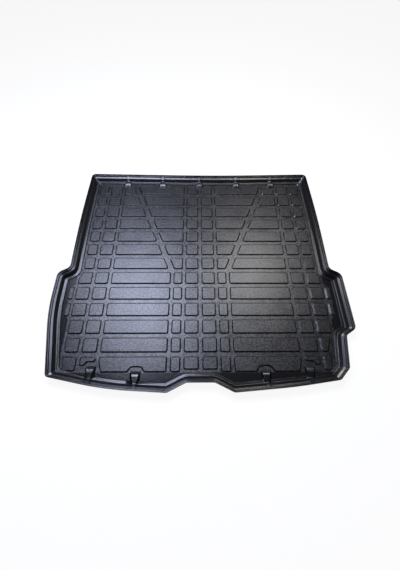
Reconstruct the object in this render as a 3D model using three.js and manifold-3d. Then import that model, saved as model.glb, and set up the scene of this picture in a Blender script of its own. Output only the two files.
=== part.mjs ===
// Car boot liner: a one-piece moulded mat with a stepped wall, raised tiles and wedge ribs.
// Sizes are in millimetres. X runs across the car, Y towards the seats and Z up.
// The plan is drawn from the centre line and from the near edge of the first tile row.
// The finished mat is then moved, so that its origin is the centre of its underside.

import * as THREE from 'three';
import Module from 'manifold-3d';

const wasm = await Module();
wasm.setup();

// Sheet
const sheetThickness = 3;

// Stepped wall, from the trimmed edge inwards and down to the floor
const lipWidth = 5.2;
const lipRise = 7.6;
const shelfWidth = 9.3;
const shelfRise = 5.3;
const riserWidth = 10;
const riserRise = 11.3;
const ledgeWidth = 9.2;
const ledgeRise = 0.8;
const footWidth = 2.8;
const footRise = 3;

// Upper side of the lip: a level rim and a level tread, each with a small step inside it
const rimWidth = 2.8;
const rimFall = 0.1;
const rimStepWidth = 1;
const rimStepFall = 5;
const treadWidth = 2.5;
const treadFall = 0.1;
const treadStepWidth = 1.2;
const treadStepFall = 5;

// Rounds of the wall's plan
const innerCornerRadius = 9;
const wallArcPairs = 3;

// Tiles
const tileHeight = 3.4;
const tileDraft = 3.4;
const tileSink = 1;
const tileCornerRadius = 4.2;
const tileArcPairs = 1;
const tileRows = 13;
const rowPitch = 67.8;
const tileLength = 46;

// Tile columns, from the centre line outwards
const centreGap = 20.5;
const columnGap = 18.5;
const centreTileWidth = 44;
const slimTileWidth = 27.4;
const longTileWidth = 224.7;
const squareTileWidth = 45.4;
const outerTileWidth = 44.4;
const outerTileNarrowWidth = 34.1;
const stripGap = 15.4;
const stripWidth = 11.5;

// Rows that differ from the rest
const wideRows = 6;
const firstStripRow = 3;
const lastStripRow = 4;

// The smooth band that runs outwards and back through the long tiles
const bandWidth = 29.5;
const bandSlope = 0.4;

// Floor left free around the tiles, up to the foot of the wall
const sideMargin = 10.2;
const wideMargin = 15.8;
const backMargin = 19.6;
const frontMargin = 37.3;

// Outermost tiles beside the left and right shoulders, and beside the step at the front right
const shoulderTileCut = 26;
const stepTileCut = 28;

// First row, which is cut back along the front wall
const frontCentreCut = 8.5;
const frontCornerCut = 34;
const frontCornerLean = 10;
const frontSquareCut = 22;
const frontOuterCut = 5;
const frontLeftLean = 4;
const frontRightLean = 22;

// Plan of the trimmed edge, whose rounds take up to this share of the sides beside them
const roundShare = 0.45;
const sideBow = 4.5;
const backBow = 11;
const backBowAt = 60;
const backCornerRadius = 18;
const frontLeftTaper = 44.5;
const frontLeftRise = 52;
const frontLeftRadius = 14;
const frontBowAt = 312;
const frontLeftBowRise = 12;
const frontRightBowRise = 17;
const frontBowRadius = 2000;
const bowRadius = 7500;
const backBowRadius = 8500;
const taperStart = 213;
const taperRadius = 1550;

// Shoulders, where the sides step out to the wide part
const leftShoulderSet = 0;
const rightShoulderSet = -6.5;
const shoulderRun = 24;
const shoulderOuterRadius = 29;
const shoulderInnerRadius = 23;

// Front right corner, which steps in and is cut off
const frontStepSet = -8;
const frontStepRun = 25;
const frontStepOuterRadius = 25;
const frontStepInnerRadius = 12;
const frontStepWidth = 39;
const cutCornerInset = 55.5;
const cutCornerRise = 76;
const cutCornerRun = 37;
const cutCornerFall = 38;
const cutCornerOuterRadius = 16;
const cutCornerInnerRadius = 15;

// Notch in the middle of the front edge
const notchTop = 46;
const notchMouth = 109;
const notchDepth = 31.5;
const notchRadius = 22;

// Wedge ribs
const frontRibPlaces = [-369.5, -218, 220, 369.5];
const backRibPlaces = [-336.5, -172.5, 0, 172.5, 336.5];
const frontRibReach = 68;
const backRibReach = 57;
const ribFlareHalf = 9;
const ribFlareBase = 22;
const ribNeckAt = 19;
const ribNeckHeight = 15;
const ribNeckHalf = 3.6;
const ribTopAt = 23;
const ribTopHeight = 9;
const ribEndHalf = 12;
const ribEndWidth = 13;
const ribDraft = 3;
const ribBaseHalf = 18.5;
const ribTileGap = 14;
const ribClearHalf = 16;
const ribClearSlope = 0.7;
const frontRibClearDepth = 20;
const backRibClearDepth = 30;

// Values that follow from the sizes above
const floorTop = sheetThickness;
const wallWidth = lipWidth + shelfWidth + riserWidth + ledgeWidth + footWidth;
const wallRise = lipRise + shelfRise + riserRise + ledgeRise + footRise;
const stepsWidth = rimWidth + rimStepWidth + treadWidth + treadStepWidth;
const stepsFall = rimFall + rimStepFall + treadFall + treadStepFall;
const rowGap = rowPitch - tileLength;
const fieldLength = (tileRows - 1) * rowPitch + tileLength;
const centreTile = [centreGap / 2, centreGap / 2 + centreTileWidth];
const slimTile = nextColumn(centreTile, columnGap, slimTileWidth);
const longTile = nextColumn(slimTile, columnGap, longTileWidth);
const squareTile = nextColumn(longTile, columnGap, squareTileWidth);
const outerTile = nextColumn(squareTile, columnGap, outerTileWidth);
const outerTileNarrow = nextColumn(squareTile, columnGap, outerTileNarrowWidth);
const strip = nextColumn(outerTile, stripGap, stripWidth);
const wideHalf = strip[1] + wideMargin + wallWidth;
const narrowHalf = outerTileNarrow[1] + sideMargin + wallWidth;
const backY = fieldLength + backMargin + wallWidth;
const frontY = -(frontMargin + wallWidth);
const shoulderY = wideRows * rowPitch - rowGap / 2;

// The next column of tiles beside a column, as the distances of its two sides from the centre line.
function nextColumn(column, gap, width) {
  return [column[1] + gap, column[1] + gap + width];
}

// A corner of an outline, with the radius that rounds it.
function corner(x, y, radius) {
  return { x, y, radius };
}

// Corners of the trimmed edge, counterclockwise from the left of the notch.
function trimmedCorners() {
  const right = wideHalf - frontStepWidth;
  const stepY = 2 * rowPitch + frontStepSet;
  const cutX = wideHalf - cutCornerInset;
  const cutY = frontY + cutCornerRise;
  return [
    corner(-notchMouth, frontY, notchRadius),
    corner(-notchTop, frontY + notchDepth, notchRadius),
    corner(notchTop, frontY + notchDepth, notchRadius),
    corner(notchMouth, frontY, notchRadius),
    corner(frontBowAt, frontY + frontRightBowRise, frontBowRadius),
    corner(cutX - cutCornerRun, cutY - cutCornerFall, cutCornerInnerRadius),
    corner(cutX, cutY, cutCornerOuterRadius),
    corner(right, stepY - frontStepRun / 2, frontStepInnerRadius),
    corner(wideHalf, stepY + frontStepRun / 2, frontStepOuterRadius),
    corner(wideHalf, shoulderY + rightShoulderSet - shoulderRun, shoulderOuterRadius),
    corner(narrowHalf, shoulderY + rightShoulderSet, shoulderInnerRadius),
    corner(narrowHalf + sideBow, (shoulderY + backY) / 2, bowRadius),
    corner(narrowHalf - sideBow / 2, backY, backCornerRadius),
    corner(backBowAt, backY - backBow, backBowRadius),
    corner(-narrowHalf + sideBow / 2, backY, backCornerRadius),
    corner(-narrowHalf - sideBow, (shoulderY + backY) / 2, bowRadius),
    corner(-narrowHalf, shoulderY + leftShoulderSet, shoulderInnerRadius),
    corner(-wideHalf, shoulderY + leftShoulderSet - shoulderRun, shoulderOuterRadius),
    corner(-wideHalf, taperStart, taperRadius),
    corner(-wideHalf + frontLeftTaper, frontY + frontLeftRise, frontLeftRadius),
    corner(-frontBowAt, frontY + frontLeftBowRise, frontBowRadius),
  ];
}

// The unit vector from one point to another.
function heading(from, to) {
  return new THREE.Vector2(to.x - from.x, to.y - from.y).normalize();
}

// The corners before and after the given one.
function neighbours(corners, index) {
  const count = corners.length;
  return [corners[(index + count - 1) % count], corners[(index + 1) % count]];
}

// The same outline with every side moved inwards by a distance, or outwards by a negative one.
// An outer corner's radius shrinks with the distance and an inner corner's radius grows.
function inset(corners, distance, smallestRadius) {
  return corners.map((here, index) => {
    const [before, after] = neighbours(corners, index);
    const into = heading(before, here);
    const out = heading(here, after);
    const turn = into.cross(out);
    const slide = distance / (1 + into.dot(out));
    const radius = Math.max(here.radius - Math.sign(turn) * distance, smallestRadius);
    return corner(
      here.x - (into.y + out.y) * slide,
      here.y + (into.x + out.x) * slide,
      radius,
    );
  });
}

// Adds the arc that rounds one corner, no longer than the sides beside it allow.
function addRound(path, corners, index) {
  const here = corners[index];
  const [before, after] = neighbours(corners, index);
  const into = heading(before, here);
  const out = heading(here, after);
  const turn = Math.atan2(into.cross(out), into.dot(out));
  const room = roundShare * Math.min(Math.hypot(here.x - before.x, here.y - before.y),
    Math.hypot(after.x - here.x, after.y - here.y));
  const radius = Math.min(here.radius, room / Math.tan(Math.abs(turn) / 2));
  const back = radius * Math.tan(Math.abs(turn) / 2);
  const side = Math.sign(turn);
  const centreX = here.x - into.x * back - into.y * radius * side;
  const centreY = here.y - into.y * back + into.x * radius * side;
  const start = Math.atan2(-into.x * side, into.y * side);
  path.absarc(centreX, centreY, radius, start, start + turn, turn < 0);
}

// A ring of points at one height around an outline, with arcs of so many pairs of steps.
function ring(corners, z, stepPairs) {
  const path = new THREE.Path();
  corners.forEach((_, index) => addRound(path, corners, index));
  return path.getPoints(stepPairs).map((point) => new THREE.Vector3(point.x, point.y, z));
}

// A closed body over rings of equally many points, with the given triangles as its two caps.
function closedBody(rings, firstCap, lastCap) {
  const count = rings[0].length;
  const lastStart = (rings.length - 1) * count;
  const triangles = [];
  for (let start = 0; start < lastStart; start += count) {
    for (let i = 0; i < count; i += 1) {
      const here = start + i;
      const next = start + (i + 1) % count;
      triangles.push(here, next, next + count, here, next + count, here + count);
    }
  }
  firstCap.forEach(([a, b, c]) => triangles.push(c, b, a));
  lastCap.forEach(([a, b, c]) => triangles.push(lastStart + a, lastStart + b, lastStart + c));
  return new wasm.Manifold(new wasm.Mesh({
    numProp: 3,
    vertProperties: new Float32Array(rings.flat().flatMap((point) => point.toArray())),
    triVerts: new Uint32Array(triangles),
  }));
}

// A closed body over level rings that are stacked upwards.
function stackedBody(rings) {
  const bottom = THREE.ShapeUtils.triangulateShape(rings[0], []);
  const top = THREE.ShapeUtils.triangulateShape(rings[rings.length - 1], []);
  return closedBody(rings, bottom, top);
}

// A line down the wall as distances in from the trimmed edge and heights, ending on the floor.
// It starts with the given stretches and goes on with the riser, the ledge and the foot.
function profileFrom(firstSteps) {
  const steps = [
    ...firstSteps,
    [riserWidth, riserRise],
    [ledgeWidth, ledgeRise],
    [footWidth, footRise],
  ];
  const profile = [new THREE.Vector2(0, floorTop + wallRise)];
  for (const [width, rise] of steps) {
    const last = profile[profile.length - 1];
    profile.push(new THREE.Vector2(last.x + width, last.y - rise));
  }
  return profile;
}

// The wall's line with a plain lip, which the underside follows.
function wallProfile() {
  return profileFrom([[lipWidth, lipRise], [shelfWidth, shelfRise]]);
}

// The wall's upper side, whose lip has its small steps.
function steppedProfile() {
  return profileFrom([
    [rimWidth, rimFall],
    [rimStepWidth, rimStepFall],
    [treadWidth, treadFall],
    [treadStepWidth, treadStepFall],
    [lipWidth + shelfWidth - stepsWidth, lipRise + shelfRise - stepsFall],
  ]);
}

// The profile moved down and outwards by a depth of sheet, with its end cut upright.
function lowered(profile, depth) {
  const onFloor = profile[profile.length - 1].clone().add(new THREE.Vector2(1, 0));
  return profile.map((here, index) => {
    const out = heading(here, profile[index + 1] ?? onFloor);
    if (index === 0) {
      return new THREE.Vector2(here.x, here.y - depth / out.x);
    }
    const into = heading(profile[index - 1], here);
    const slide = depth / (1 + into.dot(out));
    return new THREE.Vector2(here.x + (into.y + out.y) * slide, here.y - (into.x + out.x) * slide);
  });
}

// A ring around the plan at one place of the wall's profile.
function wallRing(place) {
  return ring(inset(trimmedCorners(), place.x, innerCornerRadius), place.y, wallArcPairs);
}

// The rings of a profile, from its foot up to the trimmed edge.
function risingRings(profile) {
  return [...profile].reverse().map(wallRing);
}

// The bare tray: a sheet of even thickness with its wall.
function tray() {
  const lower = lowered(wallProfile(), sheetThickness);
  return stackedBody([...risingRings(lower), ...risingRings(steppedProfile()).reverse()]);
}

// The space over the middle of the sheet, which the ribs are cut to.
function trayInside() {
  const middle = lowered(wallProfile(), sheetThickness / 2);
  const roof = new THREE.Vector2(0, floorTop + 2 * wallRise);
  return stackedBody([...risingRings(middle), wallRing(roof)]);
}

// A raised tile over the given corners, with drafted sides that start inside the floor.
function tile(corners) {
  const base = inset(corners, -tileDraft, tileDraft);
  return stackedBody([
    ring(base, floorTop - tileSink, tileArcPairs),
    ring(corners, floorTop + tileHeight, tileArcPairs),
  ]);
}

// The corners of a tile on the right half, or mirrored on the left one.
function tileCorners(points, side) {
  const corners = points.map(([x, y]) => corner(side * x, y, tileCornerRadius));
  return side > 0 ? corners : corners.reverse();
}

// A tile with straight sides between two columns and two rows.
function boxTile([inner, outer], near, far, side) {
  return tile(tileCorners([[inner, near], [outer, near], [outer, far], [inner, far]], side));
}

// Where the inner side of the smooth band lies at a distance from the front.
function bandX(y) {
  return slimTile[1] + bandSlope * (y - wideRows * rowPitch);
}

// The slim and long tiles of a row, which the band cuts anew behind the wide part.
function middleTiles(row, near, far, side) {
  if (row === 0) {
    const [inner, outer] = longTile;
    const points = [[inner, near], [outer - frontCornerLean, near], [outer, near + frontCornerCut],
      [outer, far], [inner, far]];
    return [boxTile(slimTile, near, far, side), tile(tileCorners(points, side))];
  }
  if (row < wideRows) {
    return [boxTile(slimTile, near, far, side), boxTile(longTile, near, far, side)];
  }
  const innerTile = [[slimTile[0], near], [bandX(near), near], [bandX(far), far], [slimTile[0], far]];
  const outwards = [
    [bandX(near) + bandWidth, near],
    [longTile[1], near],
    [longTile[1], far],
    [bandX(far) + bandWidth, far],
  ];
  return [tile(tileCorners(innerTile, side)), tile(tileCorners(outwards, side))];
}

// The outermost tile of a row, shaped by the wall beside it.
function wallTile(row, near, far, side) {
  const [inner, outer] = row < wideRows ? outerTile : outerTileNarrow;
  const points = [[inner, near], [outer, near], [outer, far], [inner, far]];
  if (row === wideRows - 1) {
    points.splice(2, 1, [outer, far - shoulderTileCut], [outerTileNarrow[1], far]);
  }
  if (row === 1 && side > 0) {
    points.splice(1, 2, [outer - stepTileCut, near], [outerTileNarrow[1], far]);
  }
  if (row === 1 && side < 0) {
    points.splice(1, 1, [outer - frontLeftLean, near]);
  }
  if (row === 0) {
    const lean = side > 0 ? frontRightLean : frontLeftLean;
    const cut = near + frontOuterCut;
    points.splice(0, 3, [inner, cut], [outer - lean - frontLeftLean, cut], [outer - lean, far]);
  }
  return tile(tileCorners(points, side));
}

// All tiles of one row on one half of the mat.
function rowTiles(row, side) {
  const near = row * rowPitch;
  const far = near + tileLength;
  const front = row === 0;
  const tiles = [
    boxTile(centreTile, near + (front ? frontCentreCut : 0), far, side),
    ...middleTiles(row, near, far, side),
    boxTile(squareTile, near + (front ? frontSquareCut : 0), far, side),
    wallTile(row, near, far, side),
  ];
  if (row >= firstStripRow && row <= lastStripRow) {
    tiles.push(boxTile(strip, near, far, side));
  }
  return tiles;
}

// Where the trimmed edge crosses a line along the car, at the front or at the back.
function edgeY(x, atBack) {
  const edge = wallRing(wallProfile()[0]);
  const crossings = [];
  edge.forEach((here, index) => {
    const next = edge[(index + 1) % edge.length];
    if ((here.x - x) * (next.x - x) <= 0 && here.x !== next.x) {
      crossings.push(here.y + (next.y - here.y) * (x - here.x) / (next.x - here.x));
    }
  });
  return atBack ? Math.max(...crossings) : Math.min(...crossings);
}

// A four-sided section across a rib, at a place along it.
function ribSection(x, y, height, topHalf, baseHalf) {
  const base = floorTop - tileSink;
  return [
    new THREE.Vector3(x - baseHalf, y, base),
    new THREE.Vector3(x - topHalf, y, floorTop + height),
    new THREE.Vector3(x + topHalf, y, floorTop + height),
    new THREE.Vector3(x + baseHalf, y, base),
  ];
}

// A wedge rib: it narrows over the wall's shelf to a neck, drops to a level top that widens
// towards the tiles, and ends in a slope down to the floor.
function rib(x, atBack, reach) {
  const sign = atBack ? -1 : 1;
  const start = edgeY(x, atBack);
  const sections = [
    [lipWidth, wallRise - lipRise, ribFlareHalf, ribFlareBase],
    [ribNeckAt, ribNeckHeight, ribNeckHalf, ribBaseHalf],
    [ribTopAt, ribTopHeight, ribNeckHalf + ribDraft / 2, ribBaseHalf],
    [reach - ribEndWidth, ribTopHeight, ribEndHalf, ribBaseHalf],
    [reach, 0, ribBaseHalf - ribDraft, ribBaseHalf],
  ].map(([along, height, top, base]) => ribSection(x, start + sign * along, height, top, base));
  const cap = [[0, 1, 2], [0, 2, 3]];
  return closedBody(atBack ? sections.reverse() : sections, cap, cap);
}

// The splayed space that the tiles leave free around a rib.
function ribClearance(x, atBack, reach) {
  const sign = atBack ? -1 : 1;
  const depth = atBack ? backRibClearDepth : frontRibClearDepth;
  const deep = edgeY(x, atBack) + sign * (reach + ribTileGap);
  const mouth = deep - sign * depth;
  const mouthHalf = ribClearHalf + ribClearSlope * depth;
  const points = [
    corner(x - ribClearHalf, deep, tileCornerRadius),
    corner(x - mouthHalf, mouth, tileCornerRadius),
    corner(x + mouthHalf, mouth, tileCornerRadius),
    corner(x + ribClearHalf, deep, tileCornerRadius),
  ];
  const plan = atBack ? points.reverse() : points;
  const high = inset(plan, -tileDraft, tileDraft);
  return stackedBody([ring(plan, 0, tileArcPairs), ring(high, floorTop + 2 * tileHeight, tileArcPairs)]);
}

// The bodies of a list joined into one.
function joined(bodies) {
  return bodies.reduce((whole, body) => whole.add(body));
}

// The whole mat as one solid.
function liner() {
  const tiles = [];
  for (let row = 0; row < tileRows; row += 1) {
    tiles.push(...rowTiles(row, -1), ...rowTiles(row, 1));
  }
  const ribs = [];
  const clearances = [];
  const families = [[frontRibPlaces, false, frontRibReach], [backRibPlaces, true, backRibReach]];
  for (const [places, atBack, reach] of families) {
    for (const x of places) {
      ribs.push(rib(x, atBack, reach));
      clearances.push(ribClearance(x, atBack, reach));
    }
  }
  const field = joined(tiles).subtract(joined(clearances));
  return tray().add(joined(ribs).intersect(trayInside())).add(field);
}

// A three.js geometry over a solid, moved so that the middle of its underside is the origin.
function geometryOf(solid) {
  const mesh = solid.getMesh();
  const geometry = new THREE.BufferGeometry();
  geometry.setAttribute('position', new THREE.BufferAttribute(mesh.vertProperties, 3));
  geometry.setIndex(new THREE.BufferAttribute(mesh.triVerts, 1));
  geometry.computeBoundingBox();
  const middle = geometry.boundingBox.getCenter(new THREE.Vector3());
  geometry.translate(-middle.x, -middle.y, -geometry.boundingBox.min.z);
  return geometry;
}

const blackPlastic = new THREE.MeshStandardMaterial({ color: 0x1b1b1d, roughness: 0.45, metalness: 0 });
const boot_liner = new THREE.Mesh(geometryOf(liner()), blackPlastic);
boot_liner.name = 'boot_liner';

const part = new THREE.Group();
part.add(boot_liner);

export default part;
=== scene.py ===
"""A car boot liner in black moulded plastic, on a pale studio floor.

The liner is one moulding: a shallow tray with a stepped wall, a field of raised tiles and wedge
ribs at its front and back walls. Its plan is drawn in millimetres, from the centre line and from
the near edge of the first tile row, and the finished mesh is moved into the frame in metres.
"""

import logging
import math
from dataclasses import dataclass, field
from enum import Enum

import bmesh
import bpy
from mathutils import Matrix, Vector

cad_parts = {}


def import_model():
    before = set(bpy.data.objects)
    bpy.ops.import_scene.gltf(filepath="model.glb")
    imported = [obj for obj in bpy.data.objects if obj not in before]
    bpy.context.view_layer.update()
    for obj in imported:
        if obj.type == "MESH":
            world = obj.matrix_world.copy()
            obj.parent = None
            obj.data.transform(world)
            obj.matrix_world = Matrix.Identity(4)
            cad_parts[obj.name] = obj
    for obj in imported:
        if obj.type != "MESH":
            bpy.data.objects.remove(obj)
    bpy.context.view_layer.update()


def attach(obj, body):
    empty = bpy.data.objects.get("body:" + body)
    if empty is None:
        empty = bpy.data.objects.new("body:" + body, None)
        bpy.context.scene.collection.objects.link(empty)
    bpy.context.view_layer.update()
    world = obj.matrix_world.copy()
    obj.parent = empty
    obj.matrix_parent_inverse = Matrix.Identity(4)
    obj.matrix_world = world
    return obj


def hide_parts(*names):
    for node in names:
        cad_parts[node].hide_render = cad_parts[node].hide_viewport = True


log = logging.getLogger("boot_liner")

MM = 0.001
BODY = "root"
NODE = "boot_liner"
FIELD = "Field"

# The most of a side that the round at one of its ends takes
ROUND_SHARE = 0.45
# The turn, in radians, under which a corner counts as straight
STRAIGHT = 1e-4
# The least length that is divided by
TINY = 1e-9


class Side(Enum):
    """The half of the liner that a tile lies on, as the sign of its X."""

    LEFT = -1
    RIGHT = 1


class End(Enum):
    """The wall that a rib stands at, as the sign of the way it runs."""

    FRONT = 1
    BACK = -1


@dataclass(frozen=True)
class Corner:
    """A corner of a plan line, with the radius that rounds it and the steps of that round."""

    x: float
    y: float
    radius: float
    steps: int = 8

    @property
    def place(self) -> Vector:
        """The corner as a plan point."""
        return Vector((self.x, self.y))


def turn_between(into: Vector, out: Vector) -> float:
    """The angle from one direction to another, counterclockwise."""
    return math.atan2(into.x * out.y - into.y * out.x, into.dot(out))


def arc(before: Vector, here: Vector, after: Vector, radius: float, steps: int) -> list[Vector]:
    """Rounds the corner between two others.

    Args:
        before: The corner before it.
        here: The corner.
        after: The corner after it.
        radius: The radius, which shrinks where the sides have no room for it.
        steps: The number of segments in the round.

    Returns:
        The points of the round, in the order of the corners.
    """
    into, out = (here - before).normalized(), (after - here).normalized()
    turn = turn_between(into, out)
    half_tan = math.tan(abs(turn) / 2)
    room = ROUND_SHARE * min((here - before).length, (after - here).length)
    radius = min(radius, room / half_tan)
    side = math.copysign(1, turn)
    centre = here - into * (radius * half_tan) + Vector((-into.y, into.x)) * (radius * side)
    start = math.atan2(-into.x * side, into.y * side)
    angles = [start + turn * step / steps for step in range(steps + 1)]
    return [centre + radius * Vector((math.cos(angle), math.sin(angle))) for angle in angles]


@dataclass
class Outline:
    """A closed plan line through rounded corners, counterclockwise."""

    corners: list[Corner]

    def around(self, index: int) -> tuple[Vector, Vector, Vector]:
        """The places of the corner before the given one, of that one and of the next."""
        count = len(self.corners)
        return tuple(self.corners[at % count].place for at in (index - 1, index, index + 1))

    def inset(self, distance: float, smallest_radius: float) -> "Outline":
        """The same line with every side moved inwards.

        Args:
            distance: How far the sides move, in millimetres. A negative value moves them outwards.
            smallest_radius: The least radius that a corner keeps.

        Returns:
            The moved line, with as many points as this one.
        """
        moved = []
        for index, corner in enumerate(self.corners):
            before, here, after = self.around(index)
            into, out = (here - before).normalized(), (after - here).normalized()
            slide = distance / (1 + into.dot(out))
            change = math.copysign(distance, turn_between(into, out) * distance)
            moved.append(
                Corner(
                    here.x - (into.y + out.y) * slide,
                    here.y + (into.x + out.x) * slide,
                    max(corner.radius - change, smallest_radius),
                    corner.steps,
                )
            )
        return Outline(moved)

    def points(self) -> list[Vector]:
        """Rounds every corner.

        Returns:
            The line's points, with an arc at each corner that its sides have room for.
        """
        found = []
        for index, corner in enumerate(self.corners):
            found += arc(*self.around(index), corner.radius, corner.steps)
        return found


@dataclass(frozen=True)
class Step:
    """A point of a profile: how far in from the edge, how high, and the radius that softens it."""

    along: float
    height: float
    radius: float = 0.0


def softened(steps: list[Step], arc_steps: int) -> list[Vector]:
    """Rounds the corners of an open profile.

    Args:
        steps: The profile's points in order.
        arc_steps: The number of segments in each round.

    Returns:
        The rounded profile as points (along, height).
    """
    line = [Vector((step.along, step.height)) for step in steps]
    found = [line[0]]
    for before, here, after, step in zip(line, line[1:], line[2:], steps[1:]):
        if step.radius <= 0 or abs(turn_between(here - before, after - here)) < STRAIGHT:
            found.append(here)
        else:
            found += arc(before, here, after, step.radius, arc_steps)
    return [*found, line[-1]]


def lowered(profile: list[Vector], depth: float) -> list[Vector]:
    """Moves a wall's profile down through the sheet.

    Args:
        profile: Points (along, height) from the trimmed edge to the floor.
        depth: How far below the upper side, square to it, in millimetres.

    Returns:
        The lowered profile, whose end at the trimmed edge is cut upright.
    """
    moved = []
    for index, here in enumerate(profile):
        on_floor = here + Vector((1, 0))
        after = profile[index + 1] if index + 1 < len(profile) else on_floor
        out = (after - here).normalized()
        if index == 0:
            moved.append(Vector((here.x, here.y - depth / out.x)))
            continue
        into = (here - profile[index - 1]).normalized()
        slide = depth / (1 + into.dot(out))
        moved.append(Vector((here.x + (into.y + out.y) * slide, here.y - (into.x + out.x) * slide)))
    return moved


def height_at(profile: list[Vector], along: float) -> float:
    """Reads the height of a profile.

    Args:
        profile: Points (along, height) in order.
        along: The distance along the profile.

    Returns:
        The height there, which past the profile's end is the height of its last point.
    """
    for here, after in zip(profile, profile[1:]):
        if along <= after.x:
            share = (along - here.x) / max(after.x - here.x, TINY)
            return here.y + (after.y - here.y) * min(max(share, 0.0), 1.0)
    return profile[-1].y


class Skin:
    """A surface that is grown ring by ring from a first closed ring of points."""

    def __init__(self, mesh: bmesh.types.BMesh, points: list[Vector], height: float) -> None:
        """Lays down the first ring.

        Args:
            mesh: The mesh that takes the surface.
            points: The ring's plan points.
            height: The ring's height.
        """
        self.mesh = mesh
        self.verts = [mesh.verts.new((point.x, point.y, height)) for point in points]
        self.edges = [mesh.edges.new(pair) for pair in self.pairs()]

    def pairs(self) -> list[tuple[bmesh.types.BMVert, bmesh.types.BMVert]]:
        """Each vertex of the ring with the next one."""
        return list(zip(self.verts, [*self.verts[1:], self.verts[0]]))

    def grow(self, points: list[Vector], height: float) -> None:
        """Extrudes the ring to new points.

        Args:
            points: The new ring's plan points, as many as the ring has.
            height: The new ring's height.
        """
        grown = bmesh.ops.extrude_edge_only(self.mesh, edges=self.edges)["geom"]
        fresh = {part for part in grown if isinstance(part, bmesh.types.BMVert)}
        self.verts = [
            next(edge.other_vert(vert) for edge in vert.link_edges if edge.other_vert(vert) in fresh)
            for vert in self.verts
        ]
        for vert, point in zip(self.verts, points):
            vert.co = (point.x, point.y, height)
        self.edges = [self.mesh.edges.get(pair) for pair in self.pairs()]

    def close(self) -> None:
        """Fills the ring with one face."""
        bmesh.ops.contextual_create(self.mesh, geom=self.edges)


@dataclass
class Sheet:
    """The moulded sheet and the stepped profile of its wall, in millimetres.

    Each pair is the width and the fall of one stretch, from the trimmed edge inwards.
    """

    thickness: float = 3.0
    rim: tuple[float, float] = (2.8, 0.1)
    lip_step: tuple[float, float] = (1.0, 5.0)
    tread: tuple[float, float] = (2.5, 0.1)
    tread_step: tuple[float, float] = (1.2, 5.0)
    shelf: tuple[float, float] = (7.0, 2.7)
    riser: tuple[float, float] = (10.0, 11.3)
    ledge: tuple[float, float] = (9.2, 0.8)
    foot: tuple[float, float] = (2.8, 3.0)
    under_lip: tuple[float, float] = (5.2, 7.6)
    under_shelf: tuple[float, float] = (9.3, 5.3)
    bend_radius: float = 1.1
    hollow_radius: float = 3.0
    arc_steps: int = 3

    @property
    def falls(self) -> tuple[tuple[float, float], ...]:
        """The stretches of the wall's upper side."""
        lip = (self.rim, self.lip_step, self.tread, self.tread_step, self.shelf)
        return (*lip, self.riser, self.ledge, self.foot)

    @property
    def plain_falls(self) -> tuple[tuple[float, float], ...]:
        """The stretches of the wall without the small steps of its lip."""
        return (self.under_lip, self.under_shelf, self.riser, self.ledge, self.foot)

    @property
    def wall_width(self) -> float:
        """Width of the whole wall in plan."""
        return sum(width for width, _ in self.falls)

    @property
    def wall_rise(self) -> float:
        """Height of the trimmed edge above the floor."""
        return sum(fall for _, fall in self.falls)

    def steps(self, falls: tuple[tuple[float, float], ...]) -> list[Step]:
        """Draws a wall's line from the trimmed edge down to the floor.

        Args:
            falls: The width and the fall of each stretch.

        Returns:
            The line's points, each with the radius that softens it.
        """
        along, height = 0.0, self.thickness + self.wall_rise
        found = [Step(along, height)]
        for width, fall in falls:
            along, height = along + width, height - fall
            hollow = (width, fall) == self.riser
            found.append(Step(along, height, self.hollow_radius if hollow else self.bend_radius))
        return found

    def upper(self) -> list[Vector]:
        """The rounded profile of the wall's upper side."""
        return softened(self.steps(self.falls), self.arc_steps)

    def plain(self) -> list[Vector]:
        """The profile of the wall's upper side with sharp bends and a plain lip."""
        return [Vector((step.along, step.height)) for step in self.steps(self.plain_falls)]


@dataclass
class TileSizes:
    """The grid of raised tiles, in millimetres."""

    height: float = 3.4
    draft: float = 4.4
    base_radius: float = 0.8
    top_radius: float = 1.1
    corner_radius: float = 4.2
    rows: int = 13
    row_pitch: float = 67.8
    length: float = 46.0
    centre_gap: float = 20.5
    column_gap: float = 18.5
    centre_width: float = 44.0
    slim_width: float = 27.4
    long_width: float = 224.7
    square_width: float = 45.4
    outer_width: float = 44.4
    outer_narrow_width: float = 34.1
    strip_gap: float = 15.4
    strip_width: float = 11.5
    wide_rows: int = 6
    strip_rows: tuple[int, ...] = (3, 4)
    band_width: float = 29.5
    band_slope: float = 0.4

    def columns(self) -> dict[str, tuple[float, float]]:
        """Works out the columns of tiles on one half of the liner.

        Returns:
            The two sides of each column, as distances from the centre line.
        """
        found = {"centre": (self.centre_gap / 2, self.centre_gap / 2 + self.centre_width)}
        order = (
            ("slim", "centre", self.column_gap, self.slim_width),
            ("long", "slim", self.column_gap, self.long_width),
            ("square", "long", self.column_gap, self.square_width),
            ("outer", "square", self.column_gap, self.outer_width),
            ("outer_narrow", "square", self.column_gap, self.outer_narrow_width),
            ("strip", "outer", self.strip_gap, self.strip_width),
        )
        for name, beside, gap, width in order:
            start = found[beside][1] + gap
            found[name] = (start, start + width)
        return found


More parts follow.
